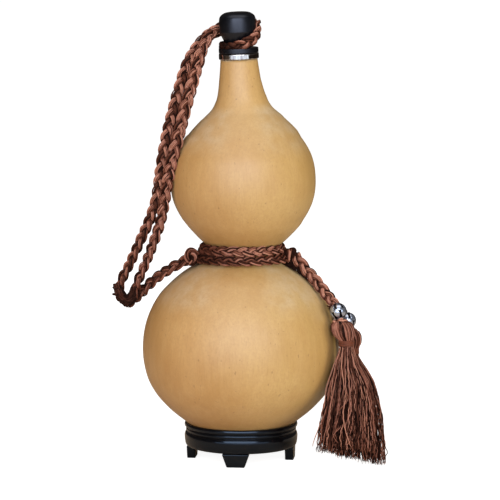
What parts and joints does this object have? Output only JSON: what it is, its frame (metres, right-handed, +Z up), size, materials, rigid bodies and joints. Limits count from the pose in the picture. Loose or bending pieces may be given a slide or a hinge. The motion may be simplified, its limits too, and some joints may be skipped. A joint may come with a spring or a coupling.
{
  "type": "dried bottle gourd",
  "caption": "Dried double-bulb bottle gourd with a steel mouth ring, a black stopper, a plaited carrying cord with beads and tassels, on a turned black stand",
  "frame": {"origin": "on the surface the stand rests on, under the middle of the stand and of the gourd", "axes": "+Z up along the gourd, -Y is the front, +X to the right, towards the tassels"},
  "size_m": [0.1781, 0.1294, 0.2958],
  "materials": {
    "gourd_skin": "smooth dried rind, satin, tan with faint vertical streaks and small dark specks",
    "mouth_steel": "polished, turned",
    "stopper_black": "satin black",
    "stand_lacquer": "turned, gloss black lacquer",
    "cord_satin": "brown satin thread, plaited in three strands, loose in the tassels",
    "bead_silver": "carved silver with dark oxidised grooves"
  },
  "bodies": {
    "root": {"gourd": "gourd_skin", "mouth_ring": "mouth_steel", "stopper": "stopper_black", "stand_ring": "stand_lacquer", "stand_foot_1": "stand_lacquer", "stand_foot_2": "stand_lacquer", "stand_foot_3": "stand_lacquer", "stand_foot_4": "stand_lacquer", "lower_turn": "cord_satin", "upper_turn": "cord_satin", "loop_knot": "cord_satin", "loop_cord": "cord_satin", "lead_cord": "cord_satin", "tail_cord": "cord_satin", "branch_cord": "cord_satin", "bead_1": "bead_silver", "bead_2": "bead_silver", "tassel_1": "cord_satin", "tassel_2": "cord_satin"}
  },
  "joints": []
}
